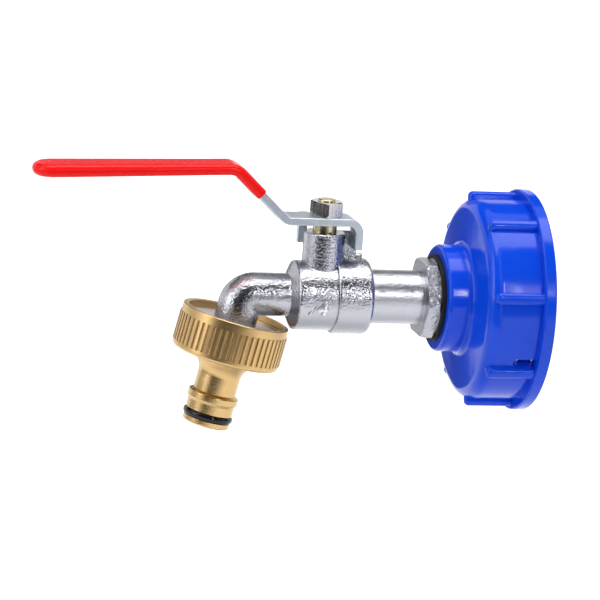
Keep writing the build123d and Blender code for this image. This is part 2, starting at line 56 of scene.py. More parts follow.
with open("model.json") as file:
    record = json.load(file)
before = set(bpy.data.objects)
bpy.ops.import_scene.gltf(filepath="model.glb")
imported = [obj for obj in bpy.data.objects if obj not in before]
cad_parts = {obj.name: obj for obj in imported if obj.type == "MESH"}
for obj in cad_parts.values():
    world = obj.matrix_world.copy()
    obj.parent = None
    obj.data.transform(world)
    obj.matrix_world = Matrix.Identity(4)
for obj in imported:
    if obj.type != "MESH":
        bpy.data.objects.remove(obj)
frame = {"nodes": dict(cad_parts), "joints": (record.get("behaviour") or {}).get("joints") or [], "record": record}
CAD_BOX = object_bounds()
MM = 0.001

# Places taken from the frame
JOINTS = {joint["name"]: joint for joint in frame["joints"]}
MOUNTS = {mount["name"]: mount for mount in frame["record"]["mounts"]}
STEM = Vector(JOINTS["lever_turn"]["pos_m"])
OUTLET = Vector(JOINTS["connector_spin"]["pos_m"])
OUTLET_DOWN = Vector(JOINTS["connector_spin"]["axis"]).normalized()
TAP_AXIS = Vector((1.0, 0.0, 0.0))
MIDDLE = (CAD_BOX[0] + CAD_BOX[1]) / 2


def node_points(node):
    """A CAD node's corners at rest."""
    return [vertex.co for vertex in frame["nodes"][node].data.vertices]


def along(point, start, axis):
    """The distance of a point along an axis."""
    return (point - start).dot(axis)


def away(point, start, axis):
    """The distance of a point from an axis."""
    return (point - start - axis * along(point, start, axis)).length


# Distances along the outlet, from the connector's joint downwards
CONNECTOR_RIM = min(along(p, OUTLET, OUTLET_DOWN) for p in node_points("hose_connector"))
MOUTH_DEPTH = 2 * MM
STUB_DROP = 2.6 * MM
STUB_TOP = CONNECTOR_RIM + STUB_DROP

# Walls that carry a thread or the size mark, and the tail's seat
MOUTH_RADIUS = min(
    away(p, OUTLET, OUTLET_DOWN)
    for p in node_points("hose_connector")
    if along(p, OUTLET, OUTLET_DOWN) < CONNECTOR_RIM + MOUTH_DEPTH
)
TANK_MOUTH = Vector(MOUNTS["tank_thread"]["pos_m"])
TANK_RADIUS = MOUNTS["tank_thread"]["dims"]["r_mm"] * MM
TANK_LENGTH = MOUNTS["tank_thread"]["dims"]["length_mm"] * MM
BARREL_SPAN = (STEM.x - 10 * MM, STEM.x + 3 * MM)
BARREL_RADIUS = -min(
    p.y for p in node_points("valve_body") if BARREL_SPAN[0] < p.x < BARREL_SPAN[1]
)
HEX_FACE = Vector((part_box("inlet_washer")[0].x, 0, 0))


class TapColours(bpy.types.PropertyGroup):
    """Colours of the finishes, in linear light."""

    blue: FloatVectorProperty(
        name="Adapter blue", description="Moulded plastic of the tank adapter",
        subtype="COLOR", size=3, min=0, max=1, default=(0.003, 0.064, 0.7),
    )
    red: FloatVectorProperty(
        name="Grip red", description="Dipped vinyl of the lever's grip",
        subtype="COLOR", size=3, min=0, max=1, default=(0.9, 0.006, 0.006),
    )
    chrome: FloatVectorProperty(
        name="Chrome", description="Plate on the cast body and the tail",
        subtype="COLOR", size=3, min=0, max=1, default=(0.44, 0.45, 0.49),
    )
    zinc: FloatVectorProperty(
        name="Zinc", description="Plate on the steel lever",
        subtype="COLOR", size=3, min=0, max=1, default=(0.57, 0.63, 0.69),
    )
    nickel: FloatVectorProperty(
        name="Nickel", description="Plate on the lever's nut",
        subtype="COLOR", size=3, min=0, max=1, default=(0.58, 0.55, 0.52),
    )
    brass: FloatVectorProperty(
        name="Brass", description="Turned brass of the connector",
        subtype="COLOR", size=3, min=0, max=1, default=(0.6, 0.41, 0.185),
    )
    stem: FloatVectorProperty(
        name="Stem brass", description="Dull brass of the stem under the lever",
        subtype="COLOR", size=3, min=0, max=1, default=(0.54, 0.48, 0.29),
    )
    rubber: FloatVectorProperty(
        name="Rubber", description="Seals and washers",
        subtype="COLOR", size=3, min=0, max=1, default=(0.010, 0.010, 0.013),
    )
    seat: FloatVectorProperty(
        name="Seat plastic", description="Ball seats and thrust washer",
        subtype="COLOR", size=3, min=0, max=1, default=(0.82, 0.82, 0.79),
    )


class TapSizes(bpy.types.PropertyGroup):
    """Sizes of what the finishes add to the tap."""

    tank_pitch: FloatProperty(
        name="Tank thread pitch", description="Rise of the adapter's coarse thread in one turn",
        unit="LENGTH", default=6 * MM,
    )
    tank_start: FloatProperty(
        name="Tank thread start",
        description="Turn about the tap's axis where the adapter's thread starts",
        subtype="ANGLE", default=math.radians(270),
    )
    tank_ridge: FloatProperty(
        name="Tank thread depth", description="Height of the adapter's thread over its wall",
        unit="LENGTH", default=2.2 * MM,
    )
    tank_foot: FloatProperty(
        name="Tank thread foot", description="Width of the adapter's thread at its wall",
        unit="LENGTH", default=4.6 * MM,
    )
    tank_crest: FloatProperty(
        name="Tank thread crest", description="Width of the adapter's thread at its top",
        unit="LENGTH", default=2 * MM,
    )
    mouth_pitch: FloatProperty(
        name="Connector thread pitch", description="Rise of the connector's pipe thread in one turn",
        unit="LENGTH", default=2.309 * MM,
    )
    mouth_ridge: FloatProperty(
        name="Connector thread depth", description="Height of the connector's thread over its wall",
        unit="LENGTH", default=0.24 * MM,
    )
    mouth_foot: FloatProperty(
        name="Connector thread foot", description="Width of the connector's thread at its wall",
        unit="LENGTH", default=1.5 * MM,
    )
    mouth_crest: FloatProperty(
        name="Connector thread crest", description="Width of the connector's thread at its top",
        unit="LENGTH", default=0.4 * MM,
    )
    mouth_length: FloatProperty(
        name="Connector thread length",
        description="How far the connector's thread reaches down its mouth",
        unit="LENGTH", default=9 * MM,
    )
    mark_height: FloatProperty(
        name="Size mark height", description="Height of one cast numeral",
        unit="LENGTH", default=4.3 * MM,
    )
    mark_relief: FloatProperty(
        name="Size mark relief", description="How far the cast numerals stand off the barrel",
        unit="LENGTH", default=0.7 * MM,
    )
    thread_steps: IntProperty(
        name="Thread steps", description="Points in one turn of a thread", default=96, min=12,
    )


class TapStage(bpy.types.PropertyGroup):
    """Camera, floor and light around the tap."""

    azimuth: FloatProperty(
        name="Azimuth", description="The camera's turn to the tap's right",
        subtype="ANGLE", default=math.radians(-14.63),
    )
    elevation: FloatProperty(
        name="Elevation", description="The camera's height over the horizon",
        subtype="ANGLE", default=math.radians(12.13),
    )
    roll: FloatProperty(
        name="Roll", description="Clockwise turn of the picture",
        subtype="ANGLE", default=math.radians(4.32),
    )
    distance: FloatProperty(
        name="Distance", description="From the camera to the point that it aims by",
        unit="LENGTH", default=1.3258,
    )
    floor_drop: FloatProperty(
        name="Floor drop", description="Room between the tap's lowest point and the floor",
        unit="LENGTH", default=0.075,
    )
    ambient: FloatProperty(
        name="Ambient", description="Strength of the light from all round", default=0.42, min=0,
    )


# Nodes


class Value:
    """A node's socket in Python arithmetic: each operator adds its Math node."""

    def __init__(self, nodes, socket):
        self.nodes = nodes
        self.socket = socket

    def math(self, operation, first, second):
        return self.nodes.node("ShaderNodeMath", {"operation": operation}, {0: first, 1: second})

    def __add__(self, other):
        return self.math("ADD", self, other)

    def __radd__(self, other):
        return self.math("ADD", other, self)

    def __sub__(self, other):
        return self.math("SUBTRACT", self, other)

    def __rsub__(self, other):
        return self.math("SUBTRACT", other, self)

    def __mul__(self, other):
        return self.math("MULTIPLY", self, other)

    def __rmul__(self, other):
        return self.math("MULTIPLY", other, self)

    def __truediv__(self, other):
        return self.math("DIVIDE", self, other)

    def __rtruediv__(self, other):
        return self.math("DIVIDE", other, self)

    def least(self, other):
        return self.math("MINIMUM", self, other)

    def most(self, other):
        return self.math("MAXIMUM", self, other)

    def sine(self):
        return self.math("SINE", self, 0.0)

    def between(self, low, high):
        """0 below low, 1 above high, and smooth between them."""
        return self.nodes.node(
            "ShaderNodeMapRange",
            {"interpolation_type": "SMOOTHSTEP"},
            {"Value": self, "From Min": low, "From Max": high},
        )


MIX_FACTOR, MIX_A, MIX_B, MIX_RESULT = 0, 6, 7, 2


class NodeTree:
    """A node tree whose nodes are added by type, settings and sockets."""

    def __init__(self, tree):
        self.tree = tree

    def node(self, kind, settings=None, sockets=None, output=0):
        added = self.tree.nodes.new(kind)
        for setting, value in (settings or {}).items():
            setattr(added, setting, value)
        for socket, value in (sockets or {}).items():
            if isinstance(value, Value):
                self.tree.links.new(value.socket, added.inputs[socket])
            else:
                added.inputs[socket].default_value = value
        return Value(self, added.outputs[output])

    def mix(self, factor, first, second):
        """A colour between two, by a factor from 0 to 1."""
        colours = {MIX_A: (*first, 1.0), MIX_B: (*second, 1.0)}
        return self.node(
            "ShaderNodeMix", {"data_type": "RGBA"}, {MIX_FACTOR: factor, **colours}, MIX_RESULT
        )


class Finish(NodeTree):
    """One procedural material on Object coordinates in millimetres."""

    def __init__(self, material_name, **numbers):
        self.material = bpy.data.materials.new(material_name)
        self.material.use_nodes = True
        super().__init__(self.material.node_tree)
        self.shader = self.tree.nodes["Principled BSDF"]
        for name, number in numbers.items():
            socket = name.replace("_", " ").title().replace("Ior", "IOR")
            self.shader.inputs[socket].default_value = number
        place = self.node("ShaderNodeTexCoord", output="Object")
        self.place = self.node(
            "ShaderNodeVectorMath", {"operation": "SCALE"}, {0: place, "Scale": 1 / MM}
        )

    def noise(self, scale, detail=2.0, stretch=None):
        """Noise from 0 to 1 with about so many grains in a millimetre, stretched along the axes."""
        place = self.place
        if stretch:
            place = self.node(
                "ShaderNodeVectorMath", {"operation": "MULTIPLY"}, {0: place, 1: stretch}
            )
        return self.node(
            "ShaderNodeTexNoise", None, {"Vector": place, "Scale": scale, "Detail": detail}
        )

    def lines(self, position, scale, detail=2.0):
        """Noise from 0 to 1 that changes with one distance alone, as turning marks do."""
        return self.node(
            "ShaderNodeTexNoise", {"noise_dimensions": "1D"},
            {"W": position, "Scale": scale, "Detail": detail},
        )

    def distance(self, start, axis):
        """Millimetres along an axis from a point of the frame."""
        offset = self.node(
            "ShaderNodeVectorMath", {"operation": "SUBTRACT"}, {0: self.place, 1: start / MM}
        )
        return self.node(
            "ShaderNodeVectorMath", {"operation": "DOT_PRODUCT"}, {0: offset, 1: axis}, "Value"
        )

    def feed(self, socket, value):
        self.tree.links.new(value.socket, self.shader.inputs[socket])

    def bump(self, height):
        """Relief of the surface, its height in millimetres."""
        self.feed("Normal", self.node("ShaderNodeBump", None, {"Height": height, "Distance": MM}))


# Millimetres over which a finish changes: at the stub's face, beyond it, round the tail's hexagon
# from back to front, and either side of where brass is polished
STUB_EDGE = 0.3
STUB_BLEND = 0.4
HEX_BACK = (-4.4, -4.0)
HEX_FRONT = (0.2, 0.6)
POLISH_BLEND = 0.5


def shade(colour, factor):
    """A colour made darker or lighter."""
    return tuple(min(1.0, part * factor) for part in colour)


def moulded_blue(colour):
    """Glossy moulded plastic with slow flow marks and a faint skin."""
    finish = Finish("moulded_blue", ior=1.5, specular_ior_level=0.25)
    flow = finish.noise(0.05, 2.0)
    skin = finish.noise(1.4, 3.0)
    finish.feed("Base Color", finish.mix(flow, shade(colour, 0.86), shade(colour, 1.1)))
    finish.feed("Roughness", 0.09 + flow * 0.06 + skin * 0.04)
    finish.bump(flow * 0.25 + skin * 0.006)
    return finish.material


def dipped_red(colour):
    """Glossy dipped vinyl, slightly uneven where it ran."""
    finish = Finish("dipped_red", ior=1.5, specular_ior_level=0.18)
    runs = finish.noise(0.16, 2.0, (0.4, 1.0, 1.0))
    skin = finish.noise(2.0, 2.0)
    finish.feed("Base Color", finish.mix(runs, shade(colour, 0.88), shade(colour, 1.08)))
    finish.feed("Roughness", 0.14 + runs * 0.1 + skin * 0.04)
    finish.bump(runs * 0.12 + skin * 0.004)
    return finish.material


def cast_chrome(colour, pitch):
    """Chrome plate on a speckled casting, with a thread at the outlet, and a machined face that is duller, less
    metallic and painted lighter for the light that falls on it in the mouth.
    """
    finish = Finish("cast_chrome")
    position = finish.distance(OUTLET, OUTLET_DOWN)
    top = STUB_TOP / MM
    stub = position.between(top - STUB_EDGE, top)
    wall = position.between(top + STUB_EDGE, top + STUB_EDGE + STUB_BLEND)
    face = stub - wall
    thread = (position * (math.tau * MM / pitch)).sine()
    pebble = finish.noise(1.15, 3.0)
    grit = finish.noise(2.6, 2.0)
    # Painted light: the machined face inside the mouth is painted 1.8 times lighter than the chrome, for the light
    # that falls on it there; its lower metal and higher roughness are the machined finish.
    finish.feed("Base Color", finish.mix(face, colour, shade(colour, 1.8)))
    finish.feed("Metallic", 1 - face * 0.6)
    finish.feed("Roughness", 0.08 + grit * 0.08 + face * 0.3 + wall * 0.1)
    finish.bump((pebble * 0.22 + grit * 0.08) * (1 - stub) + wall * thread * 0.4)
    return finish.material


def rough_plate(colour):
    """Satin plate on the tail: speckled on the shank, coarse and dull on the hexagon."""
    finish = Finish("rough_plate", metallic=1.0)
    position = finish.distance(HEX_FACE, TAP_AXIS)
    hexagon = position.between(*HEX_BACK) - position.between(*HEX_FRONT)
    pebble = finish.noise(0.8, 3.0)
    grit = finish.noise(2.4, 2.0)
    finish.feed("Base Color", finish.mix(grit, shade(colour, 0.9), shade(colour, 1.2)))
    finish.feed("Roughness", 0.24 + grit * 0.1)
    finish.bump(pebble * 0.14 + grit * 0.07 + hexagon * pebble * 0.2)
    return finish.material


def raised_mark(colour):
    """Chrome on the raised numerals, painted lighter than the barrel's as a painted highlight so that they stand
    out, with patchy roughness.
    """
    finish = Finish("raised_mark", metallic=1.0)
    sheen_and_grain = finish.noise(1.2, 2.0)
    # Painted highlight: the numerals' chrome is painted 1.25 to 1.6 times lighter than the barrel's, in patches.
    finish.feed("Base Color", finish.mix(sheen_and_grain, shade(colour, 1.25), shade(colour, 1.6)))
    finish.feed("Roughness", 0.14 + sheen_and_grain * 0.12)
    finish.bump(sheen_and_grain * 0.02)
    return finish.material


def zinc_plate(colour):
    """Satin zinc plate with a cloudy passivated skin and fine rolling lines."""
    finish = Finish("zinc_plate", metallic=1.0)
    cloud = finish.noise(0.35, 3.0)
    rolled = finish.noise(1.6, 2.0, (0.12, 1.0, 1.0))
    finish.feed("Base Color", finish.mix(cloud, shade(colour, 0.9), shade(colour, 1.1)))
    finish.feed("Roughness", 0.3 + cloud * 0.1 + rolled * 0.06)
    finish.bump(rolled * 0.02 + cloud * 0.03)
    return finish.material


def nickel_plate(colour):
    """Bright nickel with small scratches."""
    finish = Finish("nickel_plate", metallic=1.0)
    scratch = finish.noise(1.2, 3.0, (1.0, 1.0, 0.2))
    finish.feed("Base Color", finish.mix(scratch, shade(colour, 0.85), shade(colour, 1.12)))
    finish.feed("Roughness", 0.12 + scratch * 0.14)
    finish.bump(scratch * 0.03)
    return finish.material


def turned_brass(name, colour, start, axis, polished_from):
    """Brass turned about an axis: satin rings, and a brighter polish beyond a distance."""
    finish = Finish(name, metallic=1.0)
    position = finish.distance(start, axis)
    polish = position.between(polished_from - POLISH_BLEND, polished_from + POLISH_BLEND)
    rings = finish.lines(position, 3.2, 3.0)
    stain = finish.noise(0.3, 3.0)
    finish.feed("Base Color", finish.mix(stain, shade(colour, 0.86), shade(colour, 1.1)))
    finish.feed("Roughness", 0.26 + rings * 0.08 + stain * 0.06 - polish * 0.06)
    finish.bump(rings * 0.02 * (1 - polish * 0.5) + stain * 0.02)
    return finish.material


def black_rubber(name, colour, gloss):
    """Moulded rubber with a fine bloom."""
    finish = Finish(name, ior=1.52, specular_ior_level=0.12 + 0.18 * gloss)
    bloom = finish.noise(1.5, 3.0)
    finish.feed("Base Color", finish.mix(bloom, shade(colour, 0.5), shade(colour, 1.2)))
    finish.feed("Roughness", 0.6 - gloss * 0.5 + bloom * 0.08)
    finish.bump(bloom * 0.008)
    return finish.material


def seat_plastic(colour):
    """Waxy white plastic, skived smooth."""
    finish = Finish("seat_plastic", ior=1.38)
    wax = finish.noise(0.8, 2.0)
    finish.feed("Base Color", finish.mix(wax, shade(colour, 0.93), colour))
    finish.feed("Roughness", 0.4 + wax * 0.15)
    finish.bump(wax * 0.01)
    return finish.material


# Pieces


def dress(material, *nodes):
    """Gives CAD nodes their finish."""
    for node in nodes:
        materials = frame["nodes"][node].data.materials
        materials.clear()
        materials.append(material)


def add_piece(name, mesh, body):
    """A new piece of the tap that moves with a body."""
    piece = bpy.data.objects.new(name, mesh)
    bpy.context.scene.collection.objects.link(piece)
    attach(piece, body)


def turned_to(axis, place):
    """The matrix that takes +Z to an axis and the origin to a place."""
    turn = Vector((0, 0, 1)).rotation_difference(axis)
    return Matrix.Translation(place) @ turn.to_matrix().to_4x4()


RIDGE_TREE = "helical_ridge"
RIDGE_SIZES = ("Wall Radius", "Pitch", "Length", "Ridge", "Foot", "Crest", "Run Out")
RIDGE_THIN_END = 0.02


def ridge_tree():
    """Geometry nodes for one helical ridge that stands in from a round wall, from Z 0 upwards."""
    tree = bpy.data.node_groups.new(RIDGE_TREE, "GeometryNodeTree")
    sockets = dict.fromkeys(RIDGE_SIZES, "NodeSocketFloat")
    sockets.update({"Steps": "NodeSocketInt", "Finish": "NodeSocketMaterial"})
    for name, kind in sockets.items():
        tree.interface.new_socket(name, in_out="INPUT", socket_type=kind)
    tree.interface.new_socket("Geometry", in_out="OUTPUT", socket_type="NodeSocketGeometry")
    nodes = NodeTree(tree)
    inputs = tree.nodes.new("NodeGroupInput").outputs
    given = {name: Value(nodes, inputs[name]) for name in sockets}

    helix = nodes.node("GeometryNodeCurveSpiral", None, {
        "Resolution": given["Steps"], "Rotations": given["Length"] / given["Pitch"],
        "Start Radius": given["Wall Radius"], "End Radius": given["Wall Radius"],
        "Height": given["Length"],
    })
    upright = nodes.node("GeometryNodeSetCurveNormal", {"mode": "Z_UP"}, {"Curve": helix})
    share = nodes.node("GeometryNodeSplineParameter", output="Factor")
    fade = nodes.node("ShaderNodeMapRange", None, {
        "Value": share.least(1 - share), "From Max": given["Run Out"], "To Min": RIDGE_THIN_END,
    })
    tapered = nodes.node("GeometryNodeSetCurveRadius", None, {"Curve": upright, "Radius": fade})
    profile = nodes.node("GeometryNodeCurvePrimitiveQuadrilateral", {"mode": "TRAPEZOID"}, {
        "Height": given["Ridge"], "Bottom Width": given["Foot"], "Top Width": given["Crest"],
        "Offset": 0.0,
    })
    lift = nodes.node("ShaderNodeCombineXYZ", None, {"Y": given["Ridge"] * 0.5})
    seated = nodes.node("GeometryNodeTransform", None, {"Geometry": profile, "Translation": lift})
    inward = nodes.node(
        "GeometryNodeTransform", None, {"Geometry": seated, "Rotation": (0, 0, -math.pi / 2)}
    )
    ridge = nodes.node(
        "GeometryNodeCurveToMesh", None,
        {"Curve": tapered, "Profile Curve": inward, "Fill Caps": True},
    )
    whole = nodes.node("GeometryNodeRealizeInstances", None, {"Geometry": ridge})
    dressed = nodes.node(
        "GeometryNodeSetMaterial", None, {"Geometry": whole, "Material": given["Finish"]}
    )
    tree.links.new(dressed.socket, tree.nodes.new("NodeGroupOutput").inputs[0])
    return tree


def grown_mesh(name, tree, inputs):
    """The plain mesh that a geometry tree makes with these inputs."""
    holder = bpy.data.objects.new(name, bpy.data.meshes.new(name))
    bpy.context.scene.collection.objects.link(holder)
    modifier = holder.modifiers.new("grow", "NODES")
    modifier.node_group = tree
    for item in tree.interface.items_tree:
        if item.in_out == "INPUT" and item.name in inputs:
            modifier[item.identifier] = inputs[item.name]
    grown = holder.evaluated_get(bpy.context.evaluated_depsgraph_get())
    mesh = bpy.data.meshes.new_from_object(grown)
    holder.modifiers.remove(modifier)
    bpy.data.objects.remove(holder)
    return mesh


MERGE_DISTANCE = 0.001 * MM


def face_outwards(mesh):
    """Merges doubles and turns every face of a closed mesh outwards."""
    shape = bmesh.new()
    shape.from_mesh(mesh)
    bmesh.ops.remove_doubles(shape, verts=shape.verts, dist=MERGE_DISTANCE)
    bmesh.ops.recalc_face_normals(shape, faces=shape.faces)
    shape.to_mesh(mesh)
    shape.free()


def ridge_mesh(name, sizes):
    """A helical ridge as a plain closed mesh."""
    mesh = grown_mesh(name, bpy.data.node_groups.get(RIDGE_TREE) or ridge_tree(), sizes)
    face_outwards(mesh)
    return mesh


# The tank thread's bare ends, its foot's seat in the wall and the share of it that fades at an end
TANK_END_ROOM = 0.8 * MM
TANK_BITE = 0.05 * MM
TANK_RUN_OUT = 0.06


class TAP_OT_adapter(bpy.types.Operator):
    """Finish the blue tank adapter, its gasket and its coarse thread"""

    bl_idname = "tap.adapter"
    bl_label = "Tank adapter"

    def execute(self, context):
        colours, sizes = context.scene.tap_colours, context.scene.tap_sizes
        blue = moulded_blue(colours.blue)
        dress(blue, "tank_adapter")
        gasket = black_rubber("gasket_rubber", colours.rubber, gloss=0.2)
        dress(gasket, "adapter_gasket", "inlet_washer")
        mesh = ridge_mesh("adapter_thread", {
            "Wall Radius": TANK_RADIUS + TANK_BITE, "Pitch": sizes.tank_pitch,
            "Length": TANK_LENGTH - 2 * TANK_END_ROOM - sizes.tank_foot, "Ridge": sizes.tank_ridge,
            "Foot": sizes.tank_foot, "Crest": sizes.tank_crest, "Steps": sizes.thread_steps,
            "Run Out": TANK_RUN_OUT, "Finish": blue,
        })
        start = TANK_MOUTH - TAP_AXIS * (TANK_END_ROOM + sizes.tank_foot / 2)
        mesh.transform(Matrix.Rotation(sizes.tank_start, 4, "X") @ turned_to(-TAP_AXIS, start))
        add_piece("adapter_thread", mesh, "tap")
        return {"FINISHED"}


# Height of a figure as a share of its font's size, and the size mark's middle on the barrel
FIGURE_SHARE = 0.7
MARK_CENTRE = STEM.x - 3 * MM
MARK_LIFT = 0.2 * MM

# Each figure, its height as a share of the mark's, its slant, and its place across and up
MARK_LAYOUT = (
    ("3", 1.0, 0.1, -2.7 * MM, 2.4 * MM),
    ("/", 1.9, 0.4, -1.2 * MM, 0.0),
    ("4", 1.0, 0.1, 1.3 * MM, -2.3 * MM),
)


def glyph(text, height, slant, bevel):
    """One raised figure, flat, with its middle at the origin."""
    curve = bpy.data.curves.new("glyph", "FONT")
    curve.body = text
    curve.size = height / FIGURE_SHARE
    curve.align_x = "CENTER"
    curve.shear = slant
    curve.extrude = bevel
    curve.bevel_depth = bevel
    curve.bevel_resolution = 1
    holder = bpy.data.objects.new("glyph", curve)
    bpy.context.scene.collection.objects.link(holder)
    raised = holder.evaluated_get(bpy.context.evaluated_depsgraph_get())
    mesh = bpy.data.meshes.new_from_object(raised)
    bpy.data.objects.remove(holder)
    low = min(v.co.y for v in mesh.vertices)
    high = max(v.co.y for v in mesh.vertices)
    mesh.transform(Matrix.Translation((0, -(low + high) / 2, 0)))
    return mesh


def size_mark(height, relief):
    """The pipe size as a fraction, cast in relief and wrapped on the front of the barrel."""
    shape = bmesh.new()
    for text, share, slant, across, up in MARK_LAYOUT:
        mesh = glyph(text, height * share, slant, relief / 2)
        mesh.transform(Matrix.Translation((across, up + MARK_LIFT, 0)))
        shape.from_mesh(mesh)
    bmesh.ops.remove_doubles(shape, verts=shape.verts, dist=MERGE_DISTANCE)
    for vertex in shape.verts:
        across, up, out = vertex.co
        radius = BARREL_RADIUS + out
        angle = up / BARREL_RADIUS
        vertex.co = (MARK_CENTRE + across, -radius * math.cos(angle), radius * math.sin(angle))
    mesh = bpy.data.meshes.new("size_mark")
    shape.to_mesh(mesh)
    shape.free()
    return mesh


class TAP_OT_body(bpy.types.Operator):
    """Finish the cast valve body and the inlet tail, and raise the size mark on the barrel"""

    bl_idname = "tap.body"
    bl_label = "Valve body and tail"

    def execute(self, context):
        colours, sizes = context.scene.tap_colours, context.scene.tap_sizes
        dress(cast_chrome(colours.chrome, sizes.mouth_pitch), "valve_body")
        dress(rough_plate(colours.chrome), "inlet_tail")
        mark = size_mark(sizes.mark_height, sizes.mark_relief)
        mark.materials.append(raised_mark(colours.chrome))
        add_piece("size_mark", mark, "tap")
        return {"FINISHED"}


# Millimetres along its axis from which a brass piece is polished
STEM_POLISH = 18.0
CONNECTOR_POLISH = 4.0


class TAP_OT_valve(bpy.types.Operator):
    """Finish the ball, its seats, the stem and the stem's seals"""

    bl_idname = "tap.valve"
    bl_label = "Ball, seats and stem"

    def execute(self, context):
        colours = context.scene.tap_colours
        up = Vector((0, 0, 1))
        dress(turned_brass("stem_brass", colours.stem, STEM, up, STEM_POLISH), "stem")
        dress(nickel_plate(colours.chrome), "ball")
        dress(seat_plastic(colours.seat), "seat_inlet", "seat_outlet", "stem_thrust_washer")
        seal = black_rubber("stem_rubber", colours.rubber, gloss=0.6)
        dress(seal, "stem_o_ring_upper", "stem_o_ring_lower")
        return {"FINISHED"}


class TAP_OT_lever(bpy.types.Operator):
    """Finish the zinc lever, its red grip and its nut"""

    bl_idname = "tap.lever"
    bl_label = "Lever, grip and nut"

    def execute(self, context):
        colours = context.scene.tap_colours
        dress(zinc_plate(colours.zinc), "lever")
        dress(dipped_red(colours.red), "lever_grip")
        dress(nickel_plate(colours.nickel), "lever_nut")
        return {"FINISHED"}


# The connector thread's start under the rim, its foot's seat in the wall and the share that fades
MOUTH_START = 1.2 * MM
MOUTH_BITE = 0.01 * MM
MOUTH_RUN_OUT = 0.03


class TAP_OT_connector(bpy.types.Operator):
    """Finish the brass hose connector, its seals and the thread in its mouth"""

    bl_idname = "tap.connector"
    bl_label = "Hose connector"

    def execute(self, context):
        colours, sizes = context.scene.tap_colours, context.scene.tap_sizes
        brass = turned_brass(
            "connector_brass", colours.brass, OUTLET, OUTLET_DOWN, CONNECTOR_POLISH
        )
        dress(brass, "hose_connector")
        dress(black_rubber("o_ring_rubber", colours.rubber, gloss=1.0), "spigot_o_ring")
        dress(black_rubber("washer_rubber", colours.rubber, gloss=0.3), "connector_washer")
        mesh = ridge_mesh("connector_thread", {
            "Wall Radius": MOUTH_RADIUS + MOUTH_BITE, "Pitch": sizes.mouth_pitch,
            "Length": sizes.mouth_length, "Ridge": sizes.mouth_ridge, "Foot": sizes.mouth_foot,
            "Crest": sizes.mouth_crest, "Steps": sizes.thread_steps, "Run Out": MOUTH_RUN_OUT,
            "Finish": brass,
        })
        start = OUTLET + OUTLET_DOWN * (CONNECTOR_RIM + MOUTH_START)
        mesh.transform(turned_to(OUTLET_DOWN, start))
        add_piece("connector_thread", mesh, "connector")
        return {"FINISHED"}


# Stage


def stage_material(name, colour):
    """A dull surface for the stage."""
    material = bpy.data.materials.new(name)
    material.use_nodes = True
    shader = material.node_tree.nodes["Principled BSDF"]
    shader.inputs["Base Color"].default_value = (*colour, 1.0)
    shader.inputs["Roughness"].default_value = 1.0
    shader.inputs["Specular IOR Level"].default_value = 0.0
    return material


def seen_directly(nodes):
    """1 for rays from the camera and for what mirrors and glass show, else 0."""
    camera = nodes.node("ShaderNodeLightPath", output="Is Camera Ray")
    outputs = camera.socket.node.outputs
    mirrored = Value(nodes, outputs["Is Glossy Ray"])
    through = Value(nodes, outputs["Is Transmission Ray"])
    return camera.most(mirrored.most(through))


# The floor's size and colour, and how its own white grows away from the tap: metres and amount
FLOOR_HALF = 6.0
FLOOR_GREY = (0.9, 0.9, 0.9)
NEAR_REACH, NEAR_GLOW = (0.0, 0.15), 0.45
FAR_REACH, FAR_GLOW = (0.2, 0.9), 0.3
BLACK, WHITE = (0.0, 0.0, 0.0), (1.0, 1.0, 1.0)


def pale_floor(height):
    """A wide pale floor that goes over to white away from the tap and keeps its shadow."""
    mesh = bpy.data.meshes.new("floor")
    sides = ((-1, -1), (1, -1), (1, 1), (-1, 1))
    corners = [(x * FLOOR_HALF, y * FLOOR_HALF, height) for x, y in sides]
    mesh.from_pydata(corners, [], [(0, 1, 2, 3)])
    material = stage_material("pale_floor", FLOOR_GREY)
    nodes = NodeTree(material.node_tree)
    place = nodes.node("ShaderNodeTexCoord", output="Object")
    under = (MIDDLE.x, 0, height)
    offset = nodes.node("ShaderNodeVectorMath", {"operation": "SUBTRACT"}, {0: place, 1: under})
    reach = nodes.node("ShaderNodeVectorMath", {"operation": "LENGTH"}, {0: offset}, "Value")
    glow = reach.between(*NEAR_REACH) * NEAR_GLOW + reach.between(*FAR_REACH) * FAR_GLOW
    shader = material.node_tree.nodes["Principled BSDF"]
    shader.inputs["Emission Strength"].default_value = 1.0
    colour = nodes.mix(glow * seen_directly(nodes), BLACK, WHITE)
    material.node_tree.links.new(colour.socket, shader.inputs["Emission Color"])
    mesh.materials.append(material)
    floor = bpy.data.objects.new("floor", mesh)
    bpy.context.scene.collection.objects.link(floor)


def direction(azimuth, elevation):
    """The direction at a turn to the right of -Y and a rise over the horizon, in degrees."""
    turn, rise = math.radians(azimuth), math.radians(elevation)
    level = math.cos(rise)
    return Vector((math.sin(turn) * level, -math.cos(turn) * level, math.sin(rise)))


# Cards that the metal mirrors: azimuths, elevations, distance in metres, grey
CARDS = {
    "left_card": ((-58, 4), (-19, 62), 0.2, 0.05),
    "left_low_card": ((-130, -58), (-26, 0), 0.42, 0.6),
    "front_card": ((4, 22), (-6, 62), 1.1, 0.02),
    "front_low_card": ((4, 26), (-19, 0), 0.2, 0.75),
    "right_card": ((22, 62), (2, 62), 1.1, 0.02),
    "behind_card": ((172, 192), (-40, 4), 0.26, 0.1),
    "back_card": ((120, 245), (26, 50), 1.1, 0.02),
    "back_low_card": ((166, 184), (8, 34), 0.4, 0.25),
}
CARD_STEPS = 12
CARD_BLUE = 1.1

# Lamps: azimuth, elevation, distance in metres, width and height in metres, watts
LAMPS = {
    "overhead": (10, 86, 0.9, (1.0, 0.5), 6.5),
    "front_lamp": (18.5, 22, 1.0, (0.08, 0.2), 1.7),
    "left_panel": (-78, 20, 1.0, (0.36, 0.8), 2.4),
}


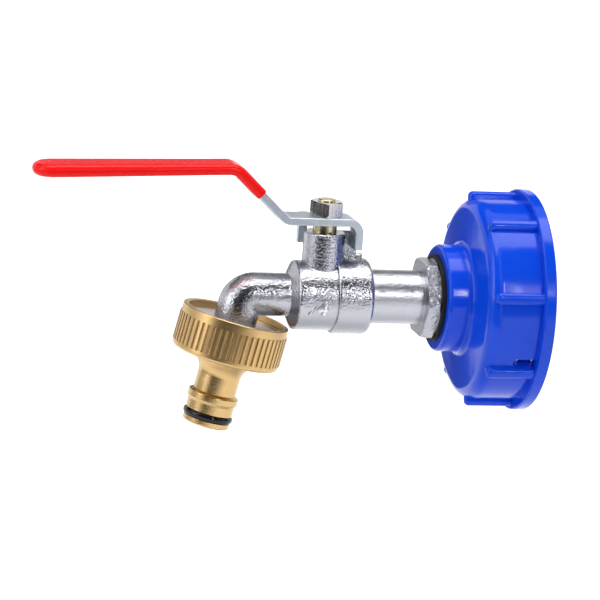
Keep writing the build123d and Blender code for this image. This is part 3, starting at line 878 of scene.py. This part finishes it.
def dark_card(name, azimuths, elevations, distance, grey):
    """A dark studio card round the tap, seen only by what mirrors it."""
    points = []
    for row in range(CARD_STEPS + 1):
        rise = elevations[0] + (elevations[1] - elevations[0]) * row / CARD_STEPS
        for column in range(CARD_STEPS + 1):
            turn = azimuths[0] + (azimuths[1] - azimuths[0]) * column / CARD_STEPS
            points.append(MIDDLE + direction(turn, rise) * distance)
    width = CARD_STEPS + 1
    corners = [row * width + column for row in range(CARD_STEPS) for column in range(CARD_STEPS)]
    faces = [(corner, corner + 1, corner + width + 1, corner + width) for corner in corners]
    mesh = bpy.data.meshes.new(name)
    mesh.from_pydata(points, [], faces)
    mesh.materials.append(stage_material(name, (grey, grey, grey * CARD_BLUE)))
    card = bpy.data.objects.new(name, mesh)
    bpy.context.scene.collection.objects.link(card)
    card.visible_camera = False
    card.visible_diffuse = False
    card.visible_shadow = False


def softbox(name, azimuth, elevation, distance, size, power):
    """A rectangular lamp that faces the tap."""
    lamp = bpy.data.lights.new(name, "AREA")
    lamp.shape = "RECTANGLE"
    lamp.size, lamp.size_y = size
    lamp.energy = power
    holder = bpy.data.objects.new(name, lamp)
    towards = direction(azimuth, elevation)
    holder.location = MIDDLE + towards * distance
    holder.rotation_mode = "QUATERNION"
    holder.rotation_quaternion = (-towards).to_track_quat("-Z", "Y")
    holder.visible_camera = False
    bpy.context.scene.collection.objects.link(holder)


def white_world(ambient):
    """White all round where it is seen, and a plain level of light elsewhere."""
    world = bpy.data.worlds.new("studio")
    bpy.context.scene.world = world
    world.use_nodes = True
    nodes = NodeTree(world.node_tree)
    background = world.node_tree.nodes["Background"]
    colour = nodes.mix(seen_directly(nodes), (ambient, ambient, ambient), WHITE)
    world.node_tree.links.new(colour.socket, background.inputs["Color"])


# The point on the tap's axis that the camera aims by, and its pixel in a frame of 600 x 600
PICTURE_SIZE = 600
AIM_PIXEL = (321.9, 295.2)
AIM_POINT = Vector((-70 * MM, 0, 0))
LENS = 240.0
SENSOR = 36.0
CLIP = (0.05, 50.0)


def picture_camera(stage):
    """The camera at the picture's angle, moved sideways so that the aim point falls on its pixel."""
    back = direction(math.degrees(stage.azimuth), math.degrees(stage.elevation))
    level = Vector((0, 0, 1)).cross(back).normalized()
    upright = back.cross(level)
    right = level * math.cos(stage.roll) + upright * math.sin(stage.roll)
    up = upright * math.cos(stage.roll) - level * math.sin(stage.roll)
    pixel = stage.distance * SENSOR / LENS / PICTURE_SIZE
    across = (AIM_PIXEL[0] - PICTURE_SIZE / 2) * pixel
    above = (PICTURE_SIZE / 2 - AIM_PIXEL[1]) * pixel
    camera = bpy.data.cameras.new("picture_camera")
    camera.lens, camera.sensor_width = LENS, SENSOR
    camera.clip_start, camera.clip_end = CLIP
    holder = bpy.data.objects.new("picture_camera", camera)
    holder.matrix_world = Matrix.Translation(
        AIM_POINT + back * stage.distance - right * across - up * above
    ) @ Matrix((right, up, back)).transposed().to_4x4()
    bpy.context.scene.collection.objects.link(holder)
    bpy.context.scene.camera = holder


class TAP_OT_stage(bpy.types.Operator):
    """Set the floor, the light and the camera"""

    bl_idname = "tap.stage"
    bl_label = "Stage"

    def execute(self, context):
        stage = context.scene.tap_stage
        pale_floor(CAD_BOX[0].z - stage.floor_drop)
        white_world(stage.ambient)
        for name, lamp in LAMPS.items():
            softbox(name, *lamp)
        for name, card in CARDS.items():
            dark_card(name, *card)
        picture_camera(stage)
        context.scene.view_settings.view_transform = "Standard"
        return {"FINISHED"}


class TAP_PT_panel(bpy.types.Panel):
    """The tap's steps, colours and sizes"""

    bl_idname = "TAP_PT_panel"
    bl_label = "Tank tap"
    bl_space_type = "VIEW_3D"
    bl_region_type = "UI"
    bl_category = "Tank tap"

    def draw(self, context):
        for step in STEPS:
            self.layout.operator(step.bl_idname)
        for group in (context.scene.tap_colours, context.scene.tap_sizes, context.scene.tap_stage):
            column = self.layout.column()
            for name in group.__annotations__:
                column.prop(group, name)


STEPS = (TAP_OT_adapter, TAP_OT_body, TAP_OT_valve, TAP_OT_lever, TAP_OT_connector, TAP_OT_stage)
GROUPS = {"tap_colours": TapColours, "tap_sizes": TapSizes, "tap_stage": TapStage}


def register():
    for item in (*GROUPS.values(), *STEPS, TAP_PT_panel):
        bpy.utils.register_class(item)
    for name, group in GROUPS.items():
        setattr(bpy.types.Scene, name, PointerProperty(type=group))


def unregister():
    for name in GROUPS:
        delattr(bpy.types.Scene, name)
    for item in (TAP_PT_panel, *reversed(STEPS), *GROUPS.values()):
        bpy.utils.unregister_class(item)


def main():
    register()
    bpy.ops.tap.adapter()
    bpy.ops.tap.body()
    bpy.ops.tap.valve()
    bpy.ops.tap.lever()
    bpy.ops.tap.connector()
    bpy.ops.tap.stage()


if __name__ == "__main__":
    main()
